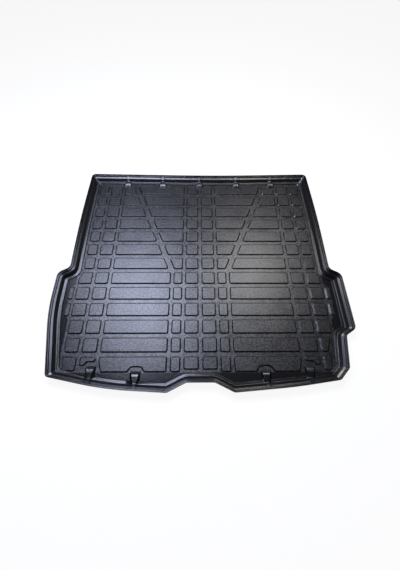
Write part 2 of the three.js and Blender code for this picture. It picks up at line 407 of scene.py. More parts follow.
@dataclass
class Plan:
    """The trimmed edge of the liner and the lines that follow from it, in millimetres."""

    sheet: Sheet
    tiles: TileSizes
    side_margin: float = 10.2
    wide_margin: float = 15.8
    back_margin: float = 19.6
    front_margin: float = 37.3
    side_bow: float = 4.5
    back_bow: float = 11.0
    back_bow_at: float = 60.0
    back_corner_radius: float = 18.0
    front_left_taper: float = 44.5
    front_left_rise: float = 52.0
    front_left_radius: float = 14.0
    front_bow_at: float = 312.0
    front_left_bow_rise: float = 12.0
    front_right_bow_rise: float = 17.0
    front_bow_radius: float = 2000.0
    side_bow_radius: float = 7500.0
    back_bow_radius: float = 8500.0
    taper_start: float = 213.0
    taper_radius: float = 1550.0
    left_shoulder_set: float = 0.0
    right_shoulder_set: float = -6.5
    shoulder_run: float = 24.0
    shoulder_outer_radius: float = 29.0
    shoulder_inner_radius: float = 23.0
    step_set: float = -8.0
    step_run: float = 25.0
    step_outer_radius: float = 25.0
    step_inner_radius: float = 12.0
    step_width: float = 39.0
    cut_inset: float = 55.5
    cut_rise: float = 76.0
    cut_run: float = 37.0
    cut_fall: float = 38.0
    cut_outer_radius: float = 16.0
    cut_inner_radius: float = 15.0
    notch_top: float = 46.0
    notch_mouth: float = 109.0
    notch_depth: float = 31.5
    notch_radius: float = 22.0
    inner_corner_radius: float = 9.0
    middle_y: float = 420.93
    edge_clearance: float = 0.1

    def __post_init__(self) -> None:
        """Works out the main lines once."""
        columns = self.tiles.columns()
        wall = self.sheet.wall_width
        field_length = (self.tiles.rows - 1) * self.tiles.row_pitch + self.tiles.length
        row_gap = self.tiles.row_pitch - self.tiles.length
        self.wide_half = columns["strip"][1] + self.wide_margin + wall
        self.narrow_half = columns["outer_narrow"][1] + self.side_margin + wall
        self.back_y = field_length + self.back_margin + wall
        self.front_y = -(self.front_margin + wall)
        self.shoulder_y = self.tiles.wide_rows * self.tiles.row_pitch - row_gap / 2
        self.edge = self.trimmed_edge()
        self.edge_ring = self.ring(0.0)

    def trimmed_edge(self) -> Outline:
        """Draws the trimmed edge.

        Returns:
            The edge, from the left of the notch round by the right side and the back.
        """
        wide, narrow, front, back = self.wide_half, self.narrow_half, self.front_y, self.back_y
        step_y = 2 * self.tiles.row_pitch + self.step_set
        cut_x, cut_y = wide - self.cut_inset, front + self.cut_rise
        half_run = self.step_run / 2
        left_y = self.shoulder_y + self.left_shoulder_set
        right_y = self.shoulder_y + self.right_shoulder_set
        side_y = (self.shoulder_y + back) / 2
        notch_y = front + self.notch_depth
        left_taper_x = -wide + self.front_left_taper
        corners = [
            Corner(-self.notch_mouth, front, self.notch_radius),
            Corner(-self.notch_top, notch_y, self.notch_radius),
            Corner(self.notch_top, notch_y, self.notch_radius),
            Corner(self.notch_mouth, front, self.notch_radius),
            Corner(self.front_bow_at, front + self.front_right_bow_rise, self.front_bow_radius),
            Corner(cut_x - self.cut_run, cut_y - self.cut_fall, self.cut_inner_radius),
            Corner(cut_x, cut_y, self.cut_outer_radius),
            Corner(wide - self.step_width, step_y - half_run, self.step_inner_radius),
            Corner(wide, step_y + half_run, self.step_outer_radius),
            Corner(wide, right_y - self.shoulder_run, self.shoulder_outer_radius),
            Corner(narrow, right_y, self.shoulder_inner_radius),
            Corner(narrow + self.side_bow, side_y, self.side_bow_radius),
            Corner(narrow - self.side_bow / 2, back, self.back_corner_radius),
            Corner(self.back_bow_at, back - self.back_bow, self.back_bow_radius),
            Corner(-narrow + self.side_bow / 2, back, self.back_corner_radius),
            Corner(-narrow - self.side_bow, side_y, self.side_bow_radius),
            Corner(-narrow, left_y, self.shoulder_inner_radius),
            Corner(-wide, left_y - self.shoulder_run, self.shoulder_outer_radius),
            Corner(-wide, self.taper_start, self.taper_radius),
            Corner(left_taper_x, front + self.front_left_rise, self.front_left_radius),
            Corner(-self.front_bow_at, front + self.front_left_bow_rise, self.front_bow_radius),
        ]
        return Outline(corners).inset(self.edge_clearance, self.inner_corner_radius)

    def ring(self, inset: float) -> list[Vector]:
        """The plan points at one distance in from the trimmed edge."""
        return self.edge.inset(inset, self.inner_corner_radius).points()

    def distance_in(self, point: Vector) -> float:
        """Measures how far in from the trimmed edge a point lies.

        Args:
            point: The plan point.

        Returns:
            Its distance to the trimmed edge, in millimetres.
        """
        ring = self.edge_ring
        nearest = math.inf
        for here, after in zip(ring, [*ring[1:], ring[0]]):
            along = after - here
            share = (point - here).dot(along) / max(along.length_squared, TINY)
            nearest = min(nearest, (here + along * min(max(share, 0.0), 1.0) - point).length)
        return nearest

    def edge_y(self, x: float, end: End) -> float:
        """Where the trimmed edge crosses a line along the car.

        Args:
            x: The line's distance from the centre line.
            end: The end of the liner.

        Returns:
            The crossing's distance from the first tile row.
        """
        ring = self.edge_ring
        crossings = [
            here.y + (after.y - here.y) * (x - here.x) / (after.x - here.x)
            for here, after in zip(ring, [*ring[1:], ring[0]])
            if (here.x - x) * (after.x - x) <= 0 and here.x != after.x
        ]
        return min(crossings) if end is End.FRONT else max(crossings)


@dataclass
class RibSizes:
    """The wedge ribs and the arches that the tiles leave around them, in millimetres."""

    front_places: tuple[float, ...] = (-369.5, -218.0, 220.0, 369.5)
    back_places: tuple[float, ...] = (-336.5, -172.5, 0.0, 172.5, 336.5)
    front_reach: float = 68.0
    back_reach: float = 57.0
    flare_half: float = 9.0
    flare_base: float = 22.0
    neck_at: float = 19.0
    neck_height: float = 15.0
    neck_half: float = 3.6
    top_at: float = 23.0
    top_height: float = 9.0
    end_half: float = 12.0
    end_width: float = 13.0
    draft: float = 3.0
    base_half: float = 18.5
    sink: float = 1.0
    edge_radius: float = 1.2
    bend_radius: float = 6.0
    end_radius: float = 22.0
    tile_gap: float = 16.4
    arch_half: float = 18.4
    arch_slope: float = 0.7
    arch_radius: float = 15.0

    def reach(self, end: End) -> float:
        """How far a rib runs in from the trimmed edge."""
        return self.front_reach if end is End.FRONT else self.back_reach

    def places(self) -> list[tuple[float, End]]:
        """Every rib's distance from the centre line, with its end of the liner."""
        front = [(x, End.FRONT) for x in self.front_places]
        return front + [(x, End.BACK) for x in self.back_places]


@dataclass(frozen=True)
class Row:
    """A row of tiles on one half of the liner, with its number from the front, starting at 0."""

    number: int
    near: float
    far: float
    side: Side


@dataclass
class TileField:
    """The raised tiles and the outlines of their tops."""

    plan: Plan
    ribs: RibSizes
    shoulder_cut: float = 26.0
    step_cut: float = 28.0
    front_centre_cut: float = 8.5
    front_corner_cut: float = 34.0
    front_corner_lean: float = 10.0
    front_square_cut: float = 22.0
    front_outer_cut: float = 5.0
    front_left_lean: float = 4.0
    front_right_lean: float = 22.0
    arc_steps: int = 5
    edge_steps: int = 3
    run_out: float = 1.2
    smallest_radius: float = 0.8

    def __post_init__(self) -> None:
        """Keeps the tiles' sizes and columns at hand."""
        self.sizes = self.plan.tiles
        self.columns = self.sizes.columns()

    def outline(self, points: list[tuple[float, ...]], side: Side) -> Outline:
        """A tile's top outline on one half of the liner.

        Args:
            points: Corners of the right-hand tile as (x, y) or (x, y, radius), counterclockwise.
            side: The half that the tile lies on.

        Returns:
            The outline, mirrored for the left half.
        """
        corners = []
        for x, y, *radius in points:
            rounding = radius[0] if radius else self.sizes.corner_radius
            corners.append(Corner(side.value * x, y, rounding, self.arc_steps))
        return Outline(corners if side is Side.RIGHT else corners[::-1])

    def box(self, column: str, row: Row, cut: float = 0.0) -> Outline:
        """A tile with straight sides.

        Args:
            column: The name of its column.
            row: Its row.
            cut: How far its near side is cut back.

        Returns:
            The tile's outline.
        """
        inner, outer = self.columns[column]
        near = row.near + cut
        return self.outline([(inner, near), (outer, near), (outer, row.far), (inner, row.far)], row.side)

    def arch(self, side: Side, place: float, end: End) -> tuple[float, float]:
        """The arch around a rib.

        Args:
            side: The half that the tile lies on.
            place: The rib's distance from the centre line on the right half.
            end: The end of the liner.

        Returns:
            The rib's distance from the centre line, and the arch's deepest line across the car.
        """
        at = min(
            (x for x, at_end in self.ribs.places() if at_end is end),
            key=lambda x: abs(x - side.value * place),
        )
        deep = self.plan.edge_y(at, end)
        deep += end.value * (self.ribs.reach(end) + self.ribs.tile_gap)
        return abs(at), deep

    def flank(self, deep: float, y: float) -> float:
        """How far the arch's flank stands from the rib's middle at a line across the car."""
        return self.ribs.arch_half + self.ribs.arch_slope * abs(y - deep)

    def band_x(self, y: float) -> float:
        """Where the inner side of the smooth band lies."""
        start = self.sizes.wide_rows * self.sizes.row_pitch
        return self.columns["slim"][1] + self.sizes.band_slope * (y - start)

    def front_long(self, row: Row) -> Outline:
        """The long tile of the first row, which leaves an arch around a rib.

        Args:
            row: The first row.

        Returns:
            The tile's outline.
        """
        inner, outer = self.columns["long"]
        at, deep = self.arch(row.side, self.ribs.front_places[-2], End.FRONT)
        half, soft = self.ribs.arch_half, self.ribs.arch_radius
        mouth = self.flank(deep, row.near)
        points = [
            (inner, row.near),
            (at - mouth, row.near),
            (at - half, deep, soft),
            (at + half, deep, soft),
            (at + mouth, row.near),
            (outer - self.front_corner_lean, row.near),
            (outer, row.near + self.front_corner_cut),
            (outer, row.far),
            (inner, row.far),
        ]
        return self.outline(points, row.side)

    def front_square(self, row: Row) -> Outline:
        """The square tile of the first row, which half an arch cuts back.

        Args:
            row: The first row.

        Returns:
            The tile's outline.
        """
        inner, outer = self.columns["square"]
        near = row.near + self.front_square_cut
        at, deep = self.arch(row.side, self.ribs.front_places[-1], End.FRONT)
        points = [
            (inner, deep),
            (at + self.ribs.arch_half, deep, self.ribs.arch_radius),
            (at + self.flank(deep, near), near),
            (outer, near),
            (outer, row.far),
            (inner, row.far),
        ]
        return self.outline(points, row.side)

    def front_outer(self, row: Row) -> Outline:
        """The outermost tile of the first row, which leans in with the wall.

        Args:
            row: The first row.

        Returns:
            The tile's outline.
        """
        inner, outer = self.columns["outer"]
        near = row.near + self.front_outer_cut
        far_x = outer - (self.front_right_lean if row.side is Side.RIGHT else self.front_left_lean)
        points = [(inner, near), (far_x - self.front_left_lean, near), (far_x, row.far), (inner, row.far)]
        return self.outline(points, row.side)

    def back_centre(self, row: Row) -> Outline:
        """The centre tile of the last row, which half an arch cuts back.

        Args:
            row: The last row.

        Returns:
            The tile's outline.
        """
        inner, outer = self.columns["centre"]
        _, deep = self.arch(row.side, 0.0, End.BACK)
        points = [
            (inner, row.near),
            (outer, row.near),
            (outer, row.far),
            (self.flank(deep, row.far), row.far),
            (self.ribs.arch_half, deep, self.ribs.arch_radius),
            (inner, deep),
        ]
        return self.outline(points, row.side)

    def back_slim(self, row: Row) -> Outline:
        """The slim tile of the last row, which leaves an arch around a rib.

        Args:
            row: The last row.

        Returns:
            The tile's outline.
        """
        inner = self.columns["slim"][0]
        at, deep = self.arch(row.side, self.ribs.back_places[-2], End.BACK)
        half, soft = self.ribs.arch_half, self.ribs.arch_radius
        mouth = self.flank(deep, row.far)
        points = [
            (inner, row.near),
            (self.band_x(row.near), row.near),
            (self.band_x(row.far), row.far),
            (at + mouth, row.far),
            (at + half, deep, soft),
            (at - half, deep, soft),
            (at - mouth, row.far),
            (inner, row.far),
        ]
        return self.outline(points, row.side)

    def back_long(self, row: Row) -> Outline:
        """The long tile of the last row, from the smooth band to the arch around a rib.

        Args:
            row: The last row.

        Returns:
            The tile's outline.
        """
        outer = self.columns["long"][1]
        half, slope, lean = self.ribs.arch_half, self.ribs.arch_slope, self.sizes.band_slope
        band = self.band_x(row.near) + self.sizes.band_width
        at, deep = self.arch(row.side, self.ribs.back_places[-1], End.BACK)
        meet = (at - half - band + slope * deep + lean * row.near) / (slope + lean)
        points = [
            (band, row.near),
            (outer, row.near),
            (outer, deep),
            (at - half, deep, self.ribs.arch_radius),
            (at - self.flank(deep, meet), meet),
        ]
        return self.outline(points, row.side)

    def back_square(self, row: Row) -> Outline:
        """The square tile of the last row, which the arch around a rib cuts off.

        Args:
            row: The last row.

        Returns:
            The tile's outline.
        """
        inner, outer = self.columns["square"]
        at, deep = self.arch(row.side, self.ribs.back_places[-1], End.BACK)
        points = [
            (inner, row.near),
            (outer, row.near),
            (outer, row.far),
            (at + self.flank(deep, row.far), row.far),
            (inner, deep + (inner - at - self.ribs.arch_half) / self.ribs.arch_slope),
        ]
        return self.outline(points, row.side)

    def side_tile(self, row: Row) -> Outline:
        """The outermost tile of a row between the first and the last one.

        Args:
            row: The row.

        Returns:
            The tile's outline, shaped by the wall beside it.
        """
        if row.number >= self.sizes.wide_rows:
            return self.box("outer_narrow", row)
        inner, outer = self.columns["outer"]
        narrow = self.columns["outer_narrow"][1]
        points = [(inner, row.near), (outer, row.near), (outer, row.far), (inner, row.far)]
        if row.number == self.sizes.wide_rows - 1:
            points[2:3] = [(outer, row.far - self.shoulder_cut), (narrow, row.far)]
        if row.number == 1 and row.side is Side.RIGHT:
            points[1:3] = [(outer - self.step_cut, row.near), (narrow, row.far)]
        if row.number == 1 and row.side is Side.LEFT:
            points[1] = (outer - self.front_left_lean, row.near)
        return self.outline(points, row.side)

    def band_tiles(self, row: Row) -> list[Outline]:
        """The slim and the long tile of a row that the smooth band crosses.

        Args:
            row: The row.

        Returns:
            The two outlines.
        """
        inner, outer = self.columns["slim"][0], self.columns["long"][1]
        low, high, band = self.band_x(row.near), self.band_x(row.far), self.sizes.band_width
        slim = [(inner, row.near), (low, row.near), (high, row.far), (inner, row.far)]
        long = [(low + band, row.near), (outer, row.near), (outer, row.far), (high + band, row.far)]
        return [self.outline(slim, row.side), self.outline(long, row.side)]

    def row_tiles(self, row: Row) -> list[Outline]:
        """The tiles of one row on one half of the liner.

        Args:
            row: The row.

        Returns:
            The tiles' outlines.
        """
        if row.number == 0:
            boxes = [self.box("centre", row, self.front_centre_cut), self.box("slim", row)]
            return [*boxes, self.front_long(row), self.front_square(row), self.front_outer(row)]
        if row.number == self.sizes.rows - 1:
            cut_back = [self.back_centre(row), self.back_slim(row), self.back_long(row)]
            return [*cut_back, self.back_square(row), self.box("outer_narrow", row)]
        found = [self.box("centre", row), self.box("square", row), self.side_tile(row)]
        if row.number < self.sizes.wide_rows:
            found += [self.box("slim", row), self.box("long", row)]
        else:
            found += self.band_tiles(row)
        if row.number in self.sizes.strip_rows:
            found.append(self.box("strip", row))
        return found

    def outlines(self) -> list[Outline]:
        """Draws the tops of all tiles.

        Returns:
            The outlines, row by row from the front.
        """
        found = []
        for number in range(self.sizes.rows):
            near = number * self.sizes.row_pitch
            for side in Side:
                found += self.row_tiles(Row(number, near, near + self.sizes.length, side))
        return found

    def profile(self) -> list[Vector]:
        """Draws a tile's side from the floor up to its top.

        A level run-out at either end gives the rounds a side to bend from, and is then left out.

        Returns:
            Points (distance in from the top outline, height).
        """
        sizes = self.sizes
        floor = self.plan.sheet.thickness
        steps = [
            Step(-sizes.draft - self.run_out, floor),
            Step(-sizes.draft, floor, sizes.base_radius),
            Step(0.0, floor + sizes.height, sizes.top_radius),
            Step(self.run_out, floor + sizes.height),
        ]
        return softened(steps, self.edge_steps)[1:-1]

    def mark(self, mesh: bmesh.types.BMesh) -> None:
        """Gives every point of the tiles the value 1 in the attribute that the plastic reads.

        Args:
            mesh: The mesh, which holds nothing but the tiles.
        """
        layer = mesh.verts.layers.float.new(FIELD)
        for vert in mesh.verts:
            vert[layer] = 1.0

    def build(self, mesh: bmesh.types.BMesh) -> list[bmesh.types.BMEdge]:
        """Raises every tile over the floor.

        Args:
            mesh: The mesh that takes the tiles.

        Returns:
            The edges in which the tiles meet the floor.
        """
        profile = self.profile()
        outlines = self.outlines()
        rims = []
        for outline in outlines:
            rings = [outline.inset(point.x, self.smallest_radius).points() for point in profile]
            skin = Skin(mesh, rings[0], profile[0].y)
            rims += skin.edges
            for ring, point in zip(rings[1:], profile[1:]):
                skin.grow(ring, point.y)
            skin.close()
        self.mark(mesh)
        log.info("tiles: %d raised tiles", len(outlines))
        return rims


@dataclass
class Tray:
    """The sheet with its stepped wall, closed all round but for the floor's upper side."""

    plan: Plan

    def build(self, mesh: bmesh.types.BMesh) -> list[bmesh.types.BMEdge]:
        """Grows the wall from the underside round the trimmed edge and down to the floor.

        Args:
            mesh: The mesh that takes the tray.

        Returns:
            The edges around the floor's upper side.
        """
        sheet = self.plan.sheet
        upper = sheet.upper()
        under = lowered(sheet.plain(), sheet.thickness)[::-1]
        skin = Skin(mesh, self.plan.ring(under[0].x), under[0].y)
        bmesh.ops.triangle_fill(mesh, use_beauty=True, edges=skin.edges, normal=(0, 0, -1))
        for place in [*under[1:], *upper]:
            skin.grow(self.plan.ring(place.x), place.y)
        log.info("tray: wall of %d rings, %.1f mm high", len(upper) + len(under), sheet.wall_rise)
        return skin.edges


@dataclass
class RibSet:
    """The wedge ribs at the front and back walls."""

    plan: Plan
    sizes: RibSizes
    arc_steps: int = 4
    edge_steps: int = 3
    halvings: int = 14

    def __post_init__(self) -> None:
        """Keeps the profile of the middle of the sheet at hand."""
        sheet = self.plan.sheet
        self.middle = lowered(sheet.plain(), sheet.thickness / 2)

    def top_line(self, reach: float) -> list[Vector]:
        """The rounded line along the top of a rib.

        Args:
            reach: The distance from the trimmed edge at which the rib ends.

        Returns:
            Points (distance from the trimmed edge, height).
        """
        sizes, sheet = self.sizes, self.plan.sheet
        floor = sheet.thickness
        lip_width, lip_fall = sheet.under_lip
        steps = [
            Step(lip_width, floor + sheet.wall_rise - lip_fall),
            Step(sizes.neck_at, floor + sizes.neck_height, sizes.bend_radius),
            Step(sizes.top_at, floor + sizes.top_height, sizes.bend_radius),
            Step(reach - sizes.end_width, floor + sizes.top_height, sizes.end_radius),
            Step(reach, floor),
        ]
        return softened(steps, self.arc_steps)

    def halves(self, along: float, reach: float) -> tuple[float, float]:
        """Works out how wide a rib is.

        Args:
            along: The distance from the trimmed edge.
            reach: The distance from the trimmed edge at which the rib ends.

        Returns:
            The half widths of its top and its base.
        """
        sizes = self.sizes
        lip_width = self.plan.sheet.under_lip[0]
        places = (lip_width, sizes.neck_at, sizes.top_at, reach - sizes.end_width, reach)
        tops = (
            sizes.flare_half,
            sizes.neck_half,
            sizes.neck_half + sizes.draft / 2,
            sizes.end_half,
            sizes.base_half - sizes.draft,
        )
        bases = (sizes.flare_base, *[sizes.base_half] * 4)
        top = height_at([Vector(pair) for pair in zip(places, tops)], along)
        base = height_at([Vector(pair) for pair in zip(places, bases)], along)
        return top, base

    def foot(self, x: float, y: float, way: int, section: tuple[float, float, float]) -> Vector:
        """Where a rib's side meets the middle of the sheet.

        Args:
            x: The rib's middle.
            y: The section's place along the car.
            way: 1 for the right side of the rib and -1 for the left one.
            section: The height of the top and the half widths of the top and the base.

        Returns:
            The point in the sheet.
        """
        top, half, base = section
        low = self.plan.sheet.thickness - self.sizes.sink
        shares = (0.0, 1.0)
        for _ in range(self.halvings):
            share = sum(shares) / 2
            side_x = x + way * (half + (base - half) * share)
            height = top + (low - top) * share
            inside = self.plan.distance_in(Vector((side_x, y)))
            above = height > max(height_at(self.middle, inside), low)
            shares = (share, shares[1]) if above else (shares[0], share)
        return Vector((side_x, y, height))

    def build(self, mesh: bmesh.types.BMesh) -> None:
        """Makes every rib as a closed body that starts inside the sheet.

        Args:
            mesh: The mesh that takes the ribs.
        """
        for x, end in self.sizes.places():
            self.rib(mesh, x, end)
        log.info("ribs: %d wedge ribs", len(self.sizes.places()))

    def rib(self, mesh: bmesh.types.BMesh, x: float, end: End) -> None:
        """Lofts one rib from the wall's shelf down to the floor.

        Args:
            mesh: The mesh that takes the rib.
            x: The rib's distance from the centre line.
            end: The end of the liner.
        """
        reach = self.sizes.reach(end)
        start = self.plan.edge_y(x, end)
        loops = []
        for station in self.top_line(reach):
            y, top = start + end.value * station.x, station.y
            half, base = self.halves(station.x, reach)
            section = (top, half, base)
            places = [
                self.foot(x, y, -1, section),
                Vector((x - half, y, top)),
                Vector((x + half, y, top)),
                self.foot(x, y, 1, section),
            ]
            loops.append([mesh.verts.new(place) for place in places])
        rings = [[mesh.edges.new(pair) for pair in zip(loop, [*loop[1:], loop[0]])] for loop in loops]
        for here, after in zip(rings, rings[1:]):
            bmesh.ops.bridge_loops(mesh, edges=[*here, *after])
        for ring in (rings[0], rings[-1]):
            bmesh.ops.contextual_create(mesh, geom=ring)
        self.round_crests(mesh, loops)

    def round_crests(self, mesh: bmesh.types.BMesh, loops: list[list[bmesh.types.BMVert]]) -> None:
        """Rounds the two edges along the top of a rib.

        Args:
            mesh: The mesh that holds the rib.
            loops: The rib's sections in order, whose second and third points are its top.
        """
        crests = [
            mesh.edges.get((here[side], after[side]))
            for here, after in zip(loops, loops[1:])
            for side in (1, 2)
        ]
        bmesh.ops.bevel(
            mesh,
            geom=[edge for edge in crests if edge],
            offset=self.sizes.edge_radius,
            segments=self.edge_steps,
            profile=0.5,
            affect="EDGES",
            material=-1,
            clamp_overlap=True,
        )


def add_node(tree: bpy.types.NodeTree, kind: str, **values: object) -> bpy.types.Node:
    """Adds a shader node.

    Args:
        tree: The node tree that takes it.
        kind: The node's type name.
        **values: Properties of the node, or values of its input sockets by name, with an
            underscore for each space.

    Returns:
        The node.
    """
    node = tree.nodes.new(kind)
    for name, value in values.items():
        if hasattr(node, name):
            setattr(node, name, value)
        else:
            node.inputs[name.replace("_", " ")].default_value = value
    return node


def feed(tree: bpy.types.NodeTree, socket: bpy.types.NodeSocket, value: object) -> None:
    """Gives an input socket its value.

    Args:
        tree: The node tree.
        socket: The input socket.
        value: The output socket that is linked to it, or a constant.
    """
    if isinstance(value, bpy.types.NodeSocket):
        tree.links.new(value, socket)
    else:
        socket.default_value = value


def computed(tree: bpy.types.NodeTree, operation: str, *values: object) -> bpy.types.NodeSocket:
    """Adds a math node.

    Args:
        tree: The node tree that takes it.
        operation: What the node works out.
        *values: Output sockets or numbers that it works with.

    Returns:
        The result's socket.
    """
    node = add_node(tree, "ShaderNodeMath", operation=operation)
    for socket, value in zip(node.inputs, values):
        feed(tree, socket, value)
    return node.outputs[0]


def blended(
    tree: bpy.types.NodeTree, share: object, first: object, second: object
) -> bpy.types.NodeSocket:
    """Mixes two values.

    Args:
        tree: The node tree that takes the node.
        share: How much of the second value goes in, as an output socket or a number.
        first: The first value, as an output socket or a number.
        second: The second value, as an output socket or a number.

    Returns:
        The mixed value's socket.
    """
    node = add_node(tree, "ShaderNodeMix", data_type="FLOAT")
    for index, value in ((0, share), (2, first), (3, second)):
        feed(tree, node.inputs[index], value)
    return node.outputs[0]


def ramp(
    tree: bpy.types.NodeTree,
    value: bpy.types.NodeSocket,
    span: tuple[float, float],
    ends: tuple[float, float] = (0.0, 1.0),
    kind: str = "SMOOTHSTEP",
) -> bpy.types.NodeSocket:
    """Maps a value from one span onto another.

    Args:
        tree: The node tree that takes the node.
        value: The value's socket.
        span: Where the result leaves its first end and reaches its second one.
        ends: The result at either end of the span and beyond it.
        kind: The way from one end to the other.

    Returns:
        The result's socket.
    """
    node = add_node(tree, "ShaderNodeMapRange", interpolation_type=kind)
    for name, number in zip(("From Min", "From Max", "To Min", "To Max"), (*span, *ends)):
        node.inputs[name].default_value = number
    tree.links.new(value, node.inputs["Value"])
    return node.outputs[0]


def bare_material(name: str) -> bpy.types.Material:
    """A new material without any nodes.

    Args:
        name: The material's name.

    Returns:
        The material.
    """
    material = bpy.data.materials.new(name)
    material.use_nodes = True
    material.node_tree.nodes.clear()
    return material


@dataclass(frozen=True)
class Grain:
    """The moulded leather grain, as a shader node group.

    Each share is how much of the pattern that it names goes into the mix with another one.
    """

    name: str = "Moulded grain"
    pebble_blend: float = 0.35
    pore_ratio: float = 2.3
    pore_share: float = 0.4
    speckle_scale: float = 165.0
    speckle_share: float = 0.5
    broad_scale: float = 14.0
    broad_share: float = 0.2

    def group(self) -> bpy.types.NodeTree:
        """Builds the group once.

        Returns:
            The group, with the inputs Position and Cells and the outputs Height and Patches.
        """
        made = bpy.data.node_groups.get(self.name)
        if made:
            return made
        tree = bpy.data.node_groups.new(self.name, "ShaderNodeTree")
        for name, kind, way in (
            ("Position", "NodeSocketVector", "INPUT"),
            ("Cells", "NodeSocketFloat", "INPUT"),
            ("Height", "NodeSocketFloat", "OUTPUT"),
            ("Patches", "NodeSocketFloat", "OUTPUT"),
        ):
            tree.interface.new_socket(name, in_out=way, socket_type=kind)
        source = add_node(tree, "NodeGroupInput")
        result = add_node(tree, "NodeGroupOutput")
        pebbles = add_node(tree, "ShaderNodeTexVoronoi", feature="SMOOTH_F1", Smoothness=self.pebble_blend)
        pores = add_node(tree, "ShaderNodeTexNoise", Detail=3.0, Roughness=0.6)
        speckle = add_node(tree, "ShaderNodeTexNoise", Scale=self.speckle_scale, Detail=1.0, Roughness=0.5)
        broad = add_node(tree, "ShaderNodeTexNoise", Scale=self.broad_scale, Detail=2.0, Roughness=0.5)
        for texture in (pebbles, pores, speckle, broad):
            tree.links.new(source.outputs["Position"], texture.inputs["Vector"])
        cells = source.outputs["Cells"]
        feed(tree, pebbles.inputs["Scale"], cells)
        feed(tree, pores.inputs["Scale"], computed(tree, "MULTIPLY", cells, self.pore_ratio))
        leather = blended(tree, self.pore_share, pebbles.outputs["Distance"], pores.outputs["Fac"])
        height = blended(tree, self.speckle_share, leather, speckle.outputs["Fac"])
        patches = blended(tree, self.broad_share, speckle.outputs["Fac"], broad.outputs["Fac"])
        feed(tree, result.inputs["Height"], height)
        feed(tree, result.inputs["Patches"], patches)
        return tree


